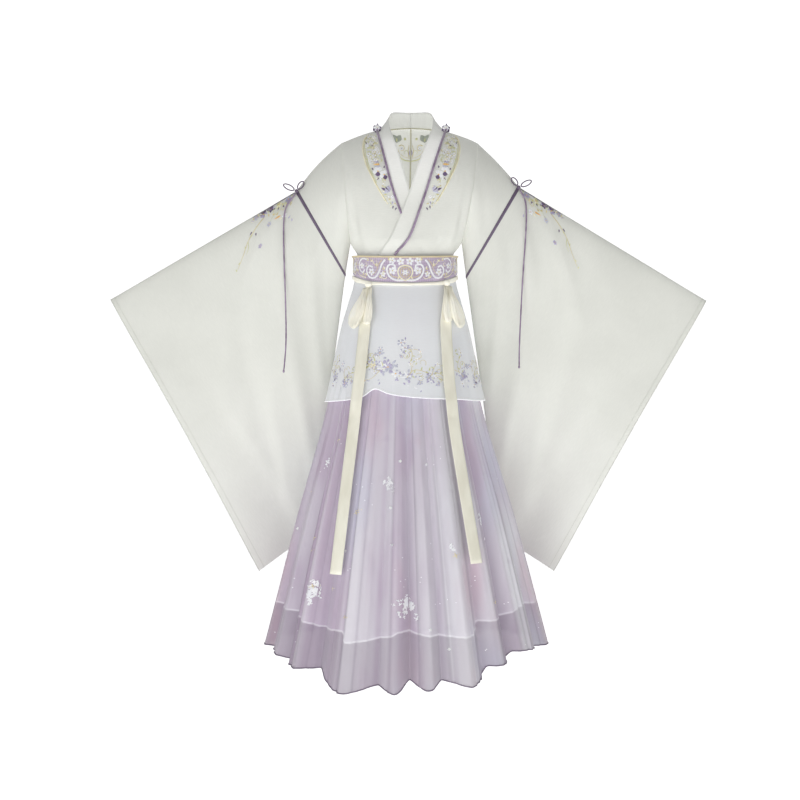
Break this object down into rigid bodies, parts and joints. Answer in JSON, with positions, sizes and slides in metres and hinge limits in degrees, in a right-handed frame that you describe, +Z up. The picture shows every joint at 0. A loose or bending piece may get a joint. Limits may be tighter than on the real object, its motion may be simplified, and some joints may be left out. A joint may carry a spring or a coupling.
{
  "type": "ruqun hanfu set",
  "caption": "Ruqun hanfu set: sheer cross-collared top with wide sleeves, brocade belt tied in a bow, short overskirt and long folded lilac skirt over a lining, in hollow worn form.",
  "frame": {"origin": "midway between the two points where the neckline crosses the shoulders, where the wearer's shoulders hold the set", "axes": "+Z up, front towards -Y, +X towards the wearer's left hand"},
  "size_m": [1.3995, 0.5653, 1.302],
  "materials": {
    "gauze": "sheer matt gauze, ivory with a green cast",
    "purple_binding": "dull plum satin, folded narrow",
    "purple_brocade": "woven plum brocade with cream scrolls",
    "cream_ribbon": "soft cream satin ribbon",
    "pale_blue_gauze": "sheer pale blue-grey gauze",
    "lilac_chiffon": "sheer lilac chiffon, watercolour dyed",
    "white_lining": "matt white under-skirt cloth"
  },
  "bodies": {
    "root": {"front_over": "gauze", "front_under": "gauze", "back_left": "gauze", "back_right": "gauze", "collar_over": "gauze", "collar_under": "gauze", "upper_sleeve_front_right": "gauze", "upper_sleeve_back_right": "gauze", "upper_sleeve_front_left": "gauze", "upper_sleeve_back_left": "gauze", "sleeve_front_right": "gauze", "sleeve_back_right": "gauze", "sleeve_front_left": "gauze", "sleeve_back_left": "gauze", "piping_over": "purple_binding", "piping_under": "purple_binding", "sleeve_binding_right": "purple_binding", "sleeve_binding_left": "purple_binding", "sleeve_tie_right": "purple_binding", "sleeve_tie_left": "purple_binding", "sleeve_knot_right": "purple_binding", "sleeve_knot_left": "purple_binding", "sleeve_loop_right_1": "purple_binding", "sleeve_loop_right_2": "purple_binding", "sleeve_loop_left_1": "purple_binding", "sleeve_loop_left_2": "purple_binding", "neck_knot_right": "purple_binding", "neck_knot_left": "purple_binding", "belt": "purple_brocade", "belt_piping": "cream_ribbon", "waist_tie": "cream_ribbon", "ribbon_right": "cream_ribbon", "ribbon_left": "cream_ribbon", "tie_knot_right": "cream_ribbon", "tie_knot_left": "cream_ribbon", "bow_loop_right_outer": "cream_ribbon", "bow_loop_right_inner": "cream_ribbon", "bow_loop_left_outer": "cream_ribbon", "bow_loop_left_inner": "cream_ribbon", "overskirt_front": "pale_blue_gauze", "overskirt_back": "pale_blue_gauze", "skirt_front": "lilac_chiffon", "skirt_back": "lilac_chiffon", "lining_front": "white_lining", "lining_back": "white_lining"}
  },
  "joints": []
}
